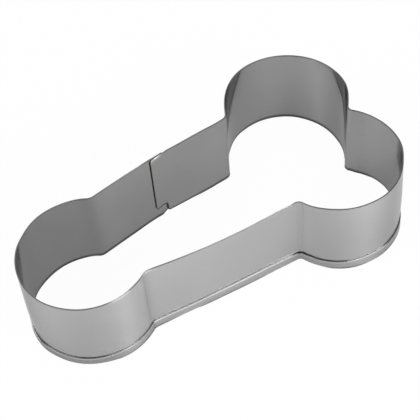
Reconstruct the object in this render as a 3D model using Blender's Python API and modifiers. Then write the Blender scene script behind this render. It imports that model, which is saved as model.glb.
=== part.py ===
"""Strip cookie cutter: one small round end, a shank and two round lobes.

The cutter is one strip of thin steel. It is bent to the outline, its lower edge is folded outwards into a hem,
and its two ends lap on the far side of the shank, where spot welds join them. It stands on its hem, with the
cutting edge up. +X runs from the small round end to the two lobes. The lapped side, +Y, is called the far side,
and the other the near side.
"""

import math

import bmesh
import bpy
from mathutils import Vector

MM = 0.001

# Strip
SHEET = 0.30 * MM              # thickness of the steel
HEIGHT = 25.0 * MM             # from the foot of the hem to the cutting edge
HEM_HEIGHT = 3.7 * MM          # height of the folded flap above the foot
HEM_GAP = 0.30 * MM            # open space between the flap and the wall

# Outline, measured to the middle of the sheet
SMALL_END_RADIUS = 16.3 * MM
LOBE_RADIUS = 16.3 * MM
LOBE_SPACING = 23.6 * MM       # between the centres of the two lobes
END_TO_LOBES = 67.6 * MM       # from the small end's centre to the line through the lobes' centres
SMALL_NECK = 13.4 * MM         # centre line to wall where the shank leaves the small end
NEAR_LOBE_NECK = 17.1 * MM     # centre line to wall where the shank meets the near lobe
FAR_LOBE_NECK = 16.1 * MM      # the same on the far side
SMALL_NECK_BEND = 2.9 * MM     # radii of the tight bends
LOBE_NECK_BEND = 1.9 * MM
CLEFT_BEND = 1.4 * MM          # the bend between the two lobes

# Crowns: each wall of the shank turns a little at one place, which stands out from the straight line
NEAR_CROWN_AT = 21.0 * MM      # along the shank from the small end's centre
NEAR_CROWN_RISE = 0.21 * MM
CROWN_RADIUS = 30.0 * MM

# Lap: the inner end is a tab inside the outer end, and the far wall's crown is where the tab ends
TAB_END_AT = 28.3 * MM         # along the shank from the small end's centre
TAB_END_RISE = 0.60 * MM
LAP_LENGTH = 4.0 * MM
LAP_GAP = 0.20 * MM            # between the two layers
TAB_CORNER = 2.4 * MM          # radius of the tab's upper corner
TAB_NOTCH_ABOVE_HEM = 0.5 * MM # the notch takes the hem off the tab and ends this far above it
HEM_BUTT_GAP = 0.30 * MM       # between the outer end and the start of the inner end's hem

# Spot welds in the lap
WELD_DIAMETER = 2.2 * MM
WELD_PITCH = 6.0 * MM
WELD_CLEARANCE = 0.04 * MM     # to each layer
WELD_NAMES = ("seam_weld_lower", "seam_weld_middle", "seam_weld_upper")
WELD_SIDES = 24

# Facets
ROUND_STEP = math.radians(6.0)
BEND_STEP = math.radians(12.0)
TIGHT_RADIUS = 5.0 * MM        # arcs under this radius take the coarser step
HEM_BEND_FACES = 5             # an odd number, so that the lowest face is level
CORNER_SEGMENTS = 6
MERGE_DISTANCE = 0.01 * MM     # for points that coincide
SHARP_ANGLE = math.radians(40.0)


FAR = 1.0
NEAR = -1.0


def clear_scene():
    for obj in list(bpy.data.objects):
        bpy.data.objects.remove(obj, do_unlink=True)


def new_collection(name):
    collection = bpy.data.collections.new(name)
    bpy.context.scene.collection.children.link(collection)
    return collection


def steel(name, colour, roughness):
    material = bpy.data.materials.new(name)
    material.use_nodes = True
    shader = material.node_tree.nodes["Principled BSDF"]
    shader.inputs["Base Color"].default_value = (*colour, 1.0)
    shader.inputs["Metallic"].default_value = 1.0
    shader.inputs["Roughness"].default_value = roughness
    material.diffuse_color = (*colour, 1.0)
    return material


def left_of(direction):
    return Vector((-direction.y, direction.x))


def heading(angle):
    return Vector((math.cos(angle), math.sin(angle)))


def tangent_angle(centre_a, radius_a, centre_b, radius_b):
    """Heading of the straight run from one circle to the next.

    A positive radius keeps its centre on the left of the path, a negative one on the right, and zero is a point.
    """
    between = centre_b - centre_a
    lean = math.asin(max(-1.0, min(1.0, (radius_b - radius_a) / between.length)))
    return math.atan2(between.y, between.x) - lean


def wrapped_path(pins):
    """Points of a strip pulled round a row of pins, each a centre and a signed radius.

    The first and the last pin are the strip's ends, with no radius.
    """
    runs = [tangent_angle(*first, *second) for first, second in zip(pins, pins[1:])]
    points = [pins[0][0].copy()]
    for (centre, radius), arriving, leaving in zip(pins[1:-1], runs, runs[1:]):
        turn = (leaving - arriving) % (2.0 * math.pi)
        if radius < 0.0:
            turn -= 2.0 * math.pi
        step = BEND_STEP if abs(radius) < TIGHT_RADIUS else ROUND_STEP
        faces = max(1, math.ceil(abs(turn) / step))
        for index in range(faces + 1):
            angle = arriving + turn * index / faces
            points.append(centre - left_of(heading(angle)) * radius)
    points.append(pins[-1][0].copy())
    return points


def bend_centre(round_centre, round_radius, neck, bend_radius, towards_x, side):
    """Centre of the tight bend that joins a round to the shank, which passes it at the neck's width."""
    across = neck + bend_radius - abs(round_centre.y)
    along = math.sqrt((round_radius + bend_radius) ** 2 - across ** 2)
    return Vector((round_centre.x + towards_x * along, side * (neck + bend_radius)))


def crown_point(at, rise, before, after, side):
    """Point of the shank's wall at a crown, which rises above the straight line between the two neck bends."""
    share = (at - before.x) / (after.x - before.x)
    return Vector((at, before.y + share * (after.y - before.y) + side * rise))


def neck_point(bend, bend_radius, side):
    return Vector((bend.x, bend.y - side * bend_radius))


def small_neck_bend(side):
    return bend_centre(Vector((0.0, 0.0)), SMALL_END_RADIUS, SMALL_NECK, SMALL_NECK_BEND, 1.0, side)


def lobe_centre(side):
    return Vector((END_TO_LOBES, side * LOBE_SPACING / 2.0))


def lobe_neck_bend(side):
    neck = FAR_LOBE_NECK if side > 0.0 else NEAR_LOBE_NECK
    return bend_centre(lobe_centre(side), LOBE_RADIUS, neck, LOBE_NECK_BEND, -1.0, side)


def shank_crown(at, rise, side):
    small_neck = neck_point(small_neck_bend(side), SMALL_NECK_BEND, side)
    lobe_neck = neck_point(lobe_neck_bend(side), LOBE_NECK_BEND, side)
    return crown_point(at, rise, small_neck, lobe_neck, side)


def lap_frame():
    """The end of the tab, and the unit vectors along the strip and into the cutter there."""
    tab_end = shank_crown(TAB_END_AT, TAB_END_RISE, FAR)
    along = heading(tangent_angle(lobe_neck_bend(FAR), -LOBE_NECK_BEND, tab_end, 0.0))
    return tab_end, along, left_of(along)


def outline():
    """Points of the strip's middle line, counter-clockwise from the outer end of the lap to the end of the tab.

    The last stretch is the tab, which has no hem.
    """
    tab_end, along, inward = lap_frame()
    outer_crown = tab_end - inward * (SHEET + LAP_GAP)
    outer_end = outer_crown - along * LAP_LENGTH
    near_crown = shank_crown(NEAR_CROWN_AT, NEAR_CROWN_RISE, NEAR)
    near_inward = left_of((lobe_neck_bend(NEAR) - small_neck_bend(NEAR)).normalized())
    cleft_reach = math.sqrt((LOBE_RADIUS + CLEFT_BEND) ** 2 - (LOBE_SPACING / 2.0) ** 2)
    pins = [
        (outer_end, 0.0),
        (outer_crown + inward * CROWN_RADIUS, CROWN_RADIUS),
        (small_neck_bend(FAR), -SMALL_NECK_BEND),
        (Vector((0.0, 0.0)), SMALL_END_RADIUS),
        (small_neck_bend(NEAR), -SMALL_NECK_BEND),
        (near_crown + near_inward * CROWN_RADIUS, CROWN_RADIUS),
        (lobe_neck_bend(NEAR), -LOBE_NECK_BEND),
        (lobe_centre(NEAR), LOBE_RADIUS),
        (Vector((END_TO_LOBES + cleft_reach, 0.0)), -CLEFT_BEND),
        (lobe_centre(FAR), LOBE_RADIUS),
        (lobe_neck_bend(FAR), -LOBE_NECK_BEND),
        (tab_end, 0.0),
    ]
    points = wrapped_path(pins)
    tab_start = tab_end - along * (LAP_LENGTH + HEM_BUTT_GAP)
    points.insert(len(points) - 1, tab_start)
    return points


def wall_section():
    """The plain wall above the notch, as (outward, up) points on the middle of the sheet."""
    return [(0.0, HEIGHT), (0.0, HEM_HEIGHT + TAB_NOTCH_ABOVE_HEM)]


def hemmed_section():
    """The wall, the half round fold at its foot and the flap, as (outward, up) points."""
    fold_radius = (SHEET + HEM_GAP) / 2.0
    fold_height = SHEET / 2.0 + fold_radius
    # The facets touch the fold's circle at mid face, so the level one lies half a sheet above the foot.
    facet_turn = math.pi / (HEM_BEND_FACES + 1)
    corner_radius = fold_radius / math.cos(facet_turn / 2.0)
    section = wall_section()
    for index in range(HEM_BEND_FACES + 1):
        corner = heading(math.pi + facet_turn * (index + 0.5)) * corner_radius
        section.append((fold_radius + corner.x, fold_height + corner.y))
    section.append((2.0 * fold_radius, HEM_HEIGHT))
    return section


def polyline(name, points, collection):
    curve = bpy.data.curves.new(name, "CURVE")
    curve.dimensions = "2D"
    curve.fill_mode = "NONE"
    spline = curve.splines.new("POLY")
    spline.points.add(len(points) - 1)
    for point, (x, y) in zip(spline.points, points):
        point.co = (x, y, 0.0, 1.0)
    obj = bpy.data.objects.new(name, curve)
    collection.objects.link(obj)
    return obj


def swept_mesh(name, path, section, guides):
    """An open surface: the section carried along the path, as a mesh."""
    profile = polyline(name + "_section", section, guides)
    carrier = polyline(name + "_path", path, guides)
    carrier.data.bevel_mode = "OBJECT"
    carrier.data.bevel_object = profile
    evaluated = carrier.evaluated_get(bpy.context.evaluated_depsgraph_get())
    mesh = bpy.data.meshes.new_from_object(evaluated)
    bpy.data.objects.remove(carrier, do_unlink=True)
    bpy.data.objects.remove(profile, do_unlink=True)
    return mesh


def shade(mesh):
    mesh.shade_smooth()
    mesh.set_sharp_from_angle(angle=SHARP_ANGLE)


def open_strip(guides):
    """The strip's middle surface: the hemmed stretch and the plain tab, joined, with the tab's corner rounded."""
    path = outline()
    hemmed = swept_mesh("hemmed", path[:-1], hemmed_section(), guides)
    tab = swept_mesh("tab", path[-2:], wall_section(), guides)
    surface = bmesh.new()
    surface.from_mesh(hemmed)
    surface.from_mesh(tab)
    bmesh.ops.remove_doubles(surface, verts=surface.verts, dist=MERGE_DISTANCE)
    tip = Vector((path[-1].x, path[-1].y, HEIGHT))
    corner = min(surface.verts, key=lambda vert: (vert.co - tip).length)
    bmesh.ops.bevel(surface, geom=[corner], offset=TAB_CORNER, segments=CORNER_SEGMENTS, profile=0.5,
                    affect="VERTICES")
    bmesh.ops.recalc_face_normals(surface, faces=surface.faces)
    mesh = bpy.data.meshes.new("band")
    surface.to_mesh(mesh)
    surface.free()
    bpy.data.meshes.remove(hemmed)
    bpy.data.meshes.remove(tab)
    return mesh


def build_band(parts, guides, material):
    middle = open_strip(guides)
    band = bpy.data.objects.new("band", middle)
    parts.objects.link(band)
    thickness = band.modifiers.new("Sheet thickness", "SOLIDIFY")
    thickness.thickness = SHEET
    thickness.offset = 0.0
    thickness.use_even_offset = True
    thickness.use_rim = True
    # The sheared edges are sharp, so the thickness is applied before the shading.
    evaluated = band.evaluated_get(bpy.context.evaluated_depsgraph_get())
    band.data = bpy.data.meshes.new_from_object(evaluated)
    band.data.name = "band"
    band.modifiers.clear()
    bpy.data.meshes.remove(middle)
    band.data.materials.append(material)
    shade(band.data)
    return band


def build_welds(parts, material):
    """Thin discs of weld metal between the two layers, in the middle of the lap."""
    tab_end, along, inward = lap_frame()
    middle = tab_end - along * (LAP_LENGTH / 2.0) - inward * ((SHEET + LAP_GAP) / 2.0)
    centre_height = (HEM_HEIGHT + TAB_NOTCH_ABOVE_HEM + HEIGHT) / 2.0
    welds = []
    for index, name in enumerate(WELD_NAMES):
        bpy.ops.mesh.primitive_cylinder_add(vertices=WELD_SIDES, radius=WELD_DIAMETER / 2.0,
                                            depth=LAP_GAP - 2.0 * WELD_CLEARANCE)
        weld = bpy.context.object
        weld.name = name
        weld.data.name = name
        height = centre_height + WELD_PITCH * (index - (len(WELD_NAMES) - 1) / 2.0)
        weld.location = (middle.x, middle.y, height)
        weld.rotation_euler = (math.pi / 2.0, 0.0, math.atan2(along.y, along.x))
        for holder in list(weld.users_collection):
            holder.objects.unlink(weld)
        parts.objects.link(weld)
        weld.data.materials.append(material)
        shade(weld.data)
        welds.append(weld)
    return welds


def main():
    clear_scene()
    parts = new_collection("cookie_cutter")
    guides = new_collection("guides")
    strip_steel = steel("satin steel", (0.58, 0.575, 0.56), 0.32)
    weld_steel = steel("weld metal", (0.42, 0.41, 0.40), 0.5)
    band = build_band(parts, guides, strip_steel)
    welds = build_welds(parts, weld_steel)

    # The origin is the middle of the footprint, under the cutter.
    hem_reach = SHEET + HEM_GAP + SHEET / 2.0
    front = -(SMALL_END_RADIUS + hem_reach)
    back = END_TO_LOBES + LOBE_RADIUS + hem_reach
    frame = bpy.data.objects.new("cookie_cutter_frame", None)
    parts.objects.link(frame)
    frame.location = (-(front + back) / 2.0, 0.0, 0.0)
    for piece in [band, *welds]:
        piece.parent = frame


main()
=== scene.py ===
"""The cookie cutter's finished strip, its welds and the stage they stand on."""

import math

import bpy
import numpy as np
from bpy.props import FloatProperty, FloatVectorProperty, PointerProperty
from bpy.types import Operator, Panel, PropertyGroup
from mathutils import Matrix, Vector


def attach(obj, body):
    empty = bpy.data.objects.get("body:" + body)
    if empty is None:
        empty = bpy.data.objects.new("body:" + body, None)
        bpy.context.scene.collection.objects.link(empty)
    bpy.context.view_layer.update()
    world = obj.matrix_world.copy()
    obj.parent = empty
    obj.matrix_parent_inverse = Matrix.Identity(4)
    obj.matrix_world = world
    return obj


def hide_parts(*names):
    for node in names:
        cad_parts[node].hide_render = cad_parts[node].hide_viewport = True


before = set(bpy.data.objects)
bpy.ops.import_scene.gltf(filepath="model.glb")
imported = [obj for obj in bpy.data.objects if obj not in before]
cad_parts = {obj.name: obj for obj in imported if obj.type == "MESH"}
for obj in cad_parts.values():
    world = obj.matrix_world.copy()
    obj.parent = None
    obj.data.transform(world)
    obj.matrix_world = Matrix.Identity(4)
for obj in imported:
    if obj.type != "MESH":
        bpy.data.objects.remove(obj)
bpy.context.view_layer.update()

bl_info = {
    "name": "Strip cookie cutter",
    "version": (1, 0, 0),
    "blender": (4, 5, 0),
    "location": "3D View > Sidebar > Cutter",
    "description": "Forms a hemmed steel strip into a cookie cutter, finishes its steel and sets the stage",
    "category": "Add Mesh",
}

MM = 0.001
WELD_NODES = ("seam_weld_lower", "seam_weld_middle", "seam_weld_upper")
# The shank's two sides, as signs across it
FAR = 1.0
NEAR = -1.0


def length(name, description, millimetres):
    """A length, with its default in millimetres."""
    return FloatProperty(name=name, description=description, default=millimetres * MM, unit="LENGTH",
                         subtype="DISTANCE", precision=5)


def colour(name, description, value):
    """A colour, as the light that it gives back."""
    return FloatVectorProperty(name=name, description=description, default=value, subtype="COLOR", size=3,
                               min=0.0, max=1.0)


def factor(name, description, value):
    """A share, from nothing to one or a little more."""
    return FloatProperty(name=name, description=description, default=value, min=0.0, soft_max=1.0,
                         precision=3)


def amount(name, description, value):
    """A plain number."""
    return FloatProperty(name=name, description=description, default=value, precision=3)


def degrees(name, description, value):
    """An angle, with its default in degrees."""
    return FloatProperty(name=name, description=description, default=math.radians(value), unit="ROTATION",
                         subtype="ANGLE")


class CutterOutlineSizes(PropertyGroup):
    """The outline, measured to the middle of the sheet, as the solid has it."""

    small_end_radius: length("Small end radius", "Radius of the small round end", 16.3)
    lobe_radius: length("Lobe radius", "Radius of each lobe", 16.3)
    lobe_spacing: length("Lobe spacing", "Between the centres of the two lobes", 23.6)
    end_to_lobes: length("End to lobes", "Small end's centre to the line through the lobes' centres", 67.6)
    small_neck: length("Small neck", "Centre line to wall where the shank leaves the small end", 13.4)
    near_lobe_neck: length("Near lobe neck", "Centre line to wall where the shank meets the near lobe", 17.1)
    far_lobe_neck: length("Far lobe neck", "Centre line to wall where the shank meets the far lobe", 16.1)
    small_neck_bend: length("Small neck bend", "Radius of the bends beside the small end", 2.9)
    lobe_neck_bend: length("Lobe neck bend", "Radius of the bends beside the lobes", 1.9)
    cleft_bend: length("Cleft bend", "Radius of the bend between the two lobes", 1.4)
    near_crown_at: length("Near crown place", "Along the shank from the small end's centre", 21.0)
    near_crown_rise: length("Near crown rise", "How far the near wall's crown stands out", 0.21)
    crown_radius: length("Crown radius", "Radius of the shank's crowns", 30.0)
    tab_end_at: length("Tab end place", "Along the shank from the small end's centre", 28.05)
    tab_end_rise: length("Tab end rise", "How far the far wall's crown stands out", 0.60)


class CutterStripSizes(PropertyGroup):
    """The strip's own section, its lap and the small shapes that forming leaves."""

    sheet: length("Sheet", "Thickness of the steel", 0.30)
    height: length("Height", "From the foot of the hem to the cutting edge", 25.0)
    hem_height: length("Hem height", "Height of the folded flap above the foot, where it is tallest", 3.7)
    hem_gap: length("Hem gap", "Open space between the flap and the wall at the fold", 0.06)
    lap_length: length("Lap length", "How far the outer end covers the inner one", 4.0)
    lap_gap: length("Lap gap", "Between the two layers", 0.12)
    tab_corner: length("Tab corner", "Radius of the tab's upper corner", 0.5)
    tab_slope_length: length("Tab slope length", "How far from its end the tab's upper edge slopes down", 3.0)
    tab_slope_drop: length("Tab slope drop", "How far the tab's upper edge slopes down", 0.6)
    tab_foot_corner: length("Tab foot corner", "Radius of the tab's lower corner", 0.4)
    notch_length: length("Notch length", "From the tab's end to the full height of the wall", 3.28)
    notch_height: length("Notch height", "Top of the notch beside the full wall", 4.9)
    notch_slope: length("Notch slope", "How much lower the notch's top is at the tab's end", 1.0)
    notch_corner: length("Notch corner", "Radius of the notch's inner corner", 1.3)
    foot_corner: length("Foot corner", "Radius of the full wall's lower corner beside the notch", 0.7)
    foot_above: length("Foot above", "Height of the wall's foot where it has no hem", 0.25)
    hem_butt_gap: length("Hem butt gap", "Between the outer end and the inner end's hem", 0.30)
    hem_run_out: length("Hem run-out", "How far from the outer end its hem starts to rise", 2.9)
    hem_run_out_rise: length("Hem run-out rise", "How far the hem has risen at the outer end", 1.5)
    foot_run_out: length("Foot run-out", "How far from the notch the inner end's foot starts to rise", 10.0)
    foot_run_out_rise: length("Foot run-out rise", "How far the inner end's foot has risen at the notch", 0.7)
    flap_corner: length("Flap corner", "Radius of the flap's corners at the two ends of the hem", 0.8)
    bend_lean_foot: length("Bend lean at the foot", "How far the near lobe's bend lies along the shank", 0.2)
    bend_lean_top: length("Bend lean at the top", "How far the near lobe's bend lies along the shank", -0.95)
    tab_lean: length("Tab lean", "How far the top of the tab's end stands out along the strip", 0.18)
    # Painted shade: how far the dark colour of the contact shade reaches up the wall from its foot
    foot_shade_height: length("Foot grime height", "How far grime reaches up the wall from its foot", 0.6)
    # Darker band along the sheared edges: how far it reaches
    edge_band_width: length("Stain width", "How far the stain reaches from a sheared edge", 0.30)
    # Painted highlight: how far the near-white colour reaches from the cutting edge and from the flap's edge
    wall_highlight_width: length("Wall rub width", "How far the shine reaches down from the cutting edge", 0.70)
    flap_highlight_width: length("Flap rub width", "How far the shine reaches from the flap's edge", 0.65)
    # Painted shade: how far the dark colour of the shade in the lap's crevices reaches from their edges
    crevice_shade_width: length("Grime width", "How far grime reaches from the edges of the lap", 0.40)
    edge_break: length("Edge break", "Width of the break along the sheared edges", 0.005)
    weld_dip: length("Weld dip", "Depth of the electrode's mark in the outer layer", 0.03)
    weld_width: length("Weld width", "Width of the electrode's mark", 2.6)
    weld_pitch: length("Weld pitch", "Between the welds of the lap", 6.0)


class CutterSteelLook(PropertyGroup):
    """Colours and finish of the steel."""

    strip_colour: colour("Strip colour", "The rolled strip", (0.455, 0.455, 0.455))
    strip_roughness: factor("Strip roughness", "The rolled strip", 0.11)
    edge_colour: colour("Edge colour", "The sheared edges", (0.12, 0.12, 0.12))
    edge_roughness: factor("Edge roughness", "The sheared edges", 0.40)
    # Painted highlight: the near-white colour of the edges where they glint; the roughness below is real
    # burnish
    highlight_colour: colour("Shine colour", "The edges where handling has rubbed them", (0.90, 0.90, 0.90))
    shine_roughness: factor("Shine roughness", "The edges where handling has rubbed them", 0.22)
    # Darker band along the sheared edges: its colour
    edge_band_colour: colour("Stain colour", "The faces right beside a sheared edge", (0.24, 0.24, 0.24))
    # Painted shade: the near-black colour put where shade falls in the lap's crevices and at the foot
    crevice_shade_colour: colour("Grime colour", "The crevices of the lap", (0.03, 0.029, 0.028))
    weld_colour: colour("Weld colour", "The weld metal", (0.30, 0.28, 0.26))
    weld_roughness: factor("Weld roughness", "The weld metal", 0.5)
    grain_width: length("Grain width", "Width of the rolling lines", 0.12)
    grain_length: length("Grain length", "Length of the rolling lines", 9.0)


class CutterStageSetup(PropertyGroup):
    """Floor, light and the camera."""

    floor_colour: colour("Floor colour", "The plain floor", (0.90, 0.90, 0.90))
    floor_roughness: factor("Floor roughness", "Gloss of the plain floor", 0.30)
    floor_lift: factor("Floor lift", "Share of plain white that the floor shows to the camera", 0.97)
    contact_reach: length("Contact reach", "How far the dark line at the foot reaches", 0.25)
    floor_lift_in_metal: factor("Floor lift in metal", "The same share in reflections", 0.20)
    floor_radius: length("Floor radius", "Radius of the floor", 3000.0)
    sky_strength: factor("Sky strength", "Plain light from all round", 0.28)
    camera_distance: length("Camera distance", "From the camera to what it looks at", 319.8)
    camera_azimuth: degrees("Camera azimuth", "Turned from a view along +Y", -28.31)
    camera_elevation: degrees("Camera elevation", "Above the floor", 53.2)
    camera_roll: degrees("Camera roll", "Turned about its own axis", -5.4)
    camera_lens: amount("Camera lens", "Focal length in millimetres on a 36 mm sensor", 106.25)
    camera_target: FloatVectorProperty(name="Camera target", description="What the camera looks at",
                                       default=(2.71 * MM, 1.32 * MM, 12.5 * MM), subtype="XYZ",
                                       unit="LENGTH")


# The path of the strip

# Between the points on straight runs, on rounds and on tight bends
RUN_STEP = 1.2 * MM
ROUND_POINT_STEP = 0.5 * MM
BEND_POINT_STEP = 0.16 * MM


def left_of(direction):
    """The direction a quarter turn to the left: (-y, x)."""
    return np.stack([-direction[..., 1], direction[..., 0]], axis=-1)


def heading(angle):
    """The direction at an angle from the x axis: (cos, sin)."""
    return np.stack([np.cos(angle), np.sin(angle)], axis=-1)


def tangent_angle(centre_a, radius_a, centre_b, radius_b):
    """Heading of the straight run from one circle to the next.

    A positive radius keeps its centre on the left of the path, a negative one on the right, and zero is a
    point. The heading is that of the line between the centres, less the arcsine of the radii's difference
    over that line's length.
    """
    between = centre_b - centre_a
    lean = math.asin(max(-1.0, min(1.0, (radius_b - radius_a) / np.linalg.norm(between))))
    return math.atan2(between[1], between[0]) - lean


class Path:
    """The strip's middle line, as arrays of points, headings and distances along it."""

    def __init__(self, pins):
        """Pulls a line round the pins, each a name, a centre, a signed radius and a step between points.

        On a pin the points are centre - normal * radius, with the normal turned evenly from the arriving
        run's heading to the leaving run's. Between pins they lie evenly on the straight run.
        """
        runs = [tangent_angle(a[1], a[2], b[1], b[2]) for a, b in zip(pins, pins[1:])]
        points = []
        angles = []
        arcs = {}
        for index, (name, centre, radius, step) in enumerate(pins):
            arriving = runs[max(index - 1, 0)]
            leaving = runs[min(index, len(runs) - 1)]
            turn = (leaving - arriving) % (2.0 * math.pi) if radius else 0.0
            if radius < 0.0:
                turn -= 2.0 * math.pi
            count = max(1, math.ceil(abs(turn) * abs(radius) / step)) if radius else 0
            turned = arriving + turn * np.linspace(0.0, 1.0, count + 1) if radius else np.array([leaving])
            arc = centre - left_of(heading(turned)) * radius
            if points:
                start = points[-1][-1]
                run_count = max(1, math.ceil(np.linalg.norm(arc[0] - start) / RUN_STEP))
                share = np.linspace(0.0, 1.0, run_count + 1)[1:-1, None]
                points.append(start + (arc[0] - start) * share)
                angles.append(np.full(len(share), arriving))
            arcs[name] = (sum(len(part) for part in points), count)
            points.append(arc)
            angles.append(turned)
        self.points = np.concatenate(points)
        self.headings = np.concatenate(angles)
        steps = np.linalg.norm(np.diff(self.points, axis=0), axis=1)
        self.along = np.concatenate([[0.0], np.cumsum(steps)])
        self.arcs = arcs

    def place(self, name, share):
        """Distance along the path of a share of the pin's arc, or past 1 of the straight run after it."""
        first, count = self.arcs[name]
        start, end = self.along[first], self.along[first + count]
        if share <= 1.0:
            return start + (end - start) * share
        later = [at for at, _ in self.arcs.values() if at > first]
        return end + (self.along[min(later)] - end) * (share - 1.0)


def bend_centre(round_centre, round_radius, neck, bend_radius, towards_x, side):
    """Centre of the tight bend that joins a round to the shank.

    It lies the neck's width and its own radius from the centre line, and both radii from the round's centre.
    """
    across = neck + bend_radius - abs(round_centre[1])
    along = math.sqrt((round_radius + bend_radius) ** 2 - across ** 2)
    return np.array([round_centre[0] + towards_x * along, side * (neck + bend_radius)])


class Outline:
    """The places that the strip is bent round, in the solid's frame."""

    def __init__(self, sizes, strip):
        """Centres the cutter, its hem included, on the origin."""
        hem_reach = strip.sheet + strip.hem_gap + strip.sheet / 2.0
        front = -(sizes.small_end_radius + hem_reach)
        back = sizes.end_to_lobes + sizes.lobe_radius + hem_reach
        self.sizes = sizes
        self.small_end = np.array([-(front + back) / 2.0, 0.0])
        self.lobes_x = self.small_end[0] + sizes.end_to_lobes
        self.layer_step = strip.sheet + strip.lap_gap
        self.lap_length = strip.lap_length

    def small_bend(self, side):
        """Centre of the bend beside the small end."""
        sizes = self.sizes
        return bend_centre(self.small_end, sizes.small_end_radius, sizes.small_neck, sizes.small_neck_bend,
                           1.0, side)

    def lobe(self, side):
        """Centre of a lobe."""
        return np.array([self.lobes_x, side * self.sizes.lobe_spacing / 2.0])

    def lobe_bend(self, side):
        """Centre of the bend beside a lobe."""
        sizes = self.sizes
        neck = sizes.far_lobe_neck if side > 0.0 else sizes.near_lobe_neck
        return bend_centre(self.lobe(side), sizes.lobe_radius, neck, sizes.lobe_neck_bend, -1.0, side)

    def crown(self, at, rise, side):
        """The crown's point stands out by its rise from the straight line between the two neck bends."""
        small = self.small_bend(side) - np.array([0.0, side * self.sizes.small_neck_bend])
        lobe = self.lobe_bend(side) - np.array([0.0, side * self.sizes.lobe_neck_bend])
        x = self.small_end[0] + at
        return np.array([x, np.interp(x, [small[0], lobe[0]], [small[1], lobe[1]]) + side * rise])

    def path(self):
        """From the outer end round the small end and the two lobes to the tab's end, which lies inside it."""
        sizes = self.sizes
        tab_end = self.crown(sizes.tab_end_at, sizes.tab_end_rise, FAR)
        along = heading(np.array(tangent_angle(self.lobe_bend(FAR), -sizes.lobe_neck_bend, tab_end, 0.0)))
        inward = left_of(along)
        outer_crown = tab_end - inward * self.layer_step
        outer_end = outer_crown - along * self.lap_length
        near_crown = self.crown(sizes.near_crown_at, sizes.near_crown_rise, NEAR)
        between_necks = self.lobe_bend(NEAR) - self.small_bend(NEAR)
        near_inward = left_of(between_necks / np.linalg.norm(between_necks))
        cleft_reach = math.sqrt((sizes.lobe_radius + sizes.cleft_bend) ** 2 - (sizes.lobe_spacing / 2.0) ** 2)
        cleft = np.array([self.lobes_x + cleft_reach, 0.0])
        crown_radius = sizes.crown_radius
        return Path([
            ("outer end", outer_end, 0.0, 0.0),
            ("far crown", outer_crown + inward * crown_radius, crown_radius, ROUND_POINT_STEP),
            ("far small bend", self.small_bend(FAR), -sizes.small_neck_bend, BEND_POINT_STEP),
            ("small end", self.small_end, sizes.small_end_radius, ROUND_POINT_STEP),
            ("near small bend", self.small_bend(NEAR), -sizes.small_neck_bend, BEND_POINT_STEP),
            ("near crown", near_crown + near_inward * crown_radius, crown_radius, ROUND_POINT_STEP),
            ("near lobe bend", self.lobe_bend(NEAR), -sizes.lobe_neck_bend, BEND_POINT_STEP),
            ("near lobe", self.lobe(NEAR), sizes.lobe_radius, ROUND_POINT_STEP),
            ("cleft", cleft, -sizes.cleft_bend, BEND_POINT_STEP),
            ("far lobe", self.lobe(FAR), sizes.lobe_radius, ROUND_POINT_STEP),
            ("far lobe bend", self.lobe_bend(FAR), -sizes.lobe_neck_bend, BEND_POINT_STEP),
            ("tab end", tab_end, 0.0, 0.0),
        ])


# What forming leaves, and where highlights and shade are painted. For each place on the path, a table pairs
# shares of its arc with values.

# How far the cutting edge springs outwards, in millimetres
EDGE_SPRING = {
    "outer end": [(0.0, -0.20)],
    "far crown": [(0.5, -0.30), (1.3, -0.15), (1.8, -0.05)],
    "small end": [(0.01, -0.02), (0.1, -0.17), (0.2, -0.06), (0.28, -0.18), (0.34, 0.04), (0.45, 0.13),
                  (0.58, 0.17), (0.68, -0.02), (0.92, -0.12), (0.97, -0.04)],
    "near small bend": [(1.1, 0.03), (1.5, 0.27)],
    "near crown": [(0.5, 0.50), (1.2, 0.80), (1.3, 0.85), (1.5, 0.79), (1.75, 0.40), (1.88, 0.18),
                   (1.97, 0.12)],
    "near lobe": [(0.0, -0.24), (0.05, -0.10), (0.11, -0.04), (0.2, -0.13), (0.3, -0.26), (0.38, -0.16),
                  (0.6, -0.37), (0.66, -0.14), (0.7, -0.03), (0.9, -0.12)],
    "cleft": [(0.5, -0.05)],
    "far lobe": [(0.03, -0.05), (0.09, 0.20), (0.14, 0.40), (0.3, 0.12), (0.5, -0.23), (0.62, -0.13),
                 (0.73, 0.02), (0.93, -0.30)],
    "far lobe bend": [(0.5, -0.1), (1.1, -0.22), (1.3, -0.05), (1.66, 0.05), (1.77, 0.12),
                      (1.86, -0.17)],
    "tab end": [(0.0, -0.31)],
}

# How far the foot springs outwards, in millimetres
FOOT_SPRING = {
    "outer end": [(0.0, 0.0)],
    "small end": [(0.25, 0.0), (0.42, 0.11), (0.53, 0.10), (0.62, 0.0)],
    "near lobe": [(0.4, 0.0), (0.54, 0.10), (0.65, 0.0), (0.93, 0.0), (0.965, -0.17), (0.99, -0.05)],
    "cleft": [(0.5, 0.0)],
    "far lobe": [(0.1, -0.03), (0.19, -0.24), (0.36, -0.22), (0.48, 0.0)],
    "tab end": [(0.0, 0.0)],
}

# How far the wall bulges outwards a third of the way up, in millimetres
WALL_BULGE = {
    "outer end": [(0.0, 0.0)],
    "small end": [(0.40, 0.0), (0.47, 0.19), (0.53, 0.19), (0.62, 0.0)],
    "near lobe": [(0.48, 0.0), (0.56, 0.15), (0.63, 0.15), (0.72, 0.0)],
    "tab end": [(0.0, 0.0)],
}

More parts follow.
